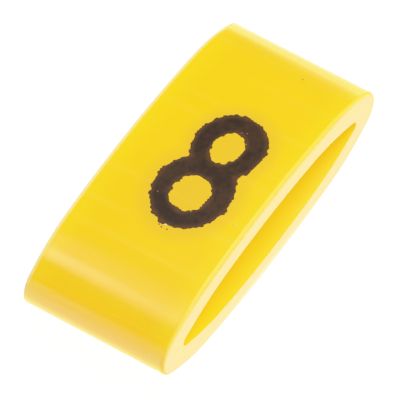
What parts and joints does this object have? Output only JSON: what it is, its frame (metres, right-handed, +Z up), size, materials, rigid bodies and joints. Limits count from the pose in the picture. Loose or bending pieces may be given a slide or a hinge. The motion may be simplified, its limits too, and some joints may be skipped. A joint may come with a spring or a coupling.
{
  "type": "cable marker",
  "caption": "Short oval sleeve of soft yellow vinyl that slides along a cable, with thick rounded tips, thin walls and a plain black numeral printed on its back.",
  "frame": {"origin": "under the middle of the belly, on the surface that the marker lies on", "axes": "+X along the cable, +Y across the oval and up the printed numeral, +Z up through the back"},
  "size_m": [0.005, 0.012, 0.0035],
  "materials": {
    "yellow_vinyl": "soft satin extruded vinyl, paler on the cut ends",
    "black_ink": "printed ink film, slightly glossy, with ragged edges"
  },
  "bodies": {
    "root": {"sleeve": "yellow_vinyl"}
  },
  "joints": []
}
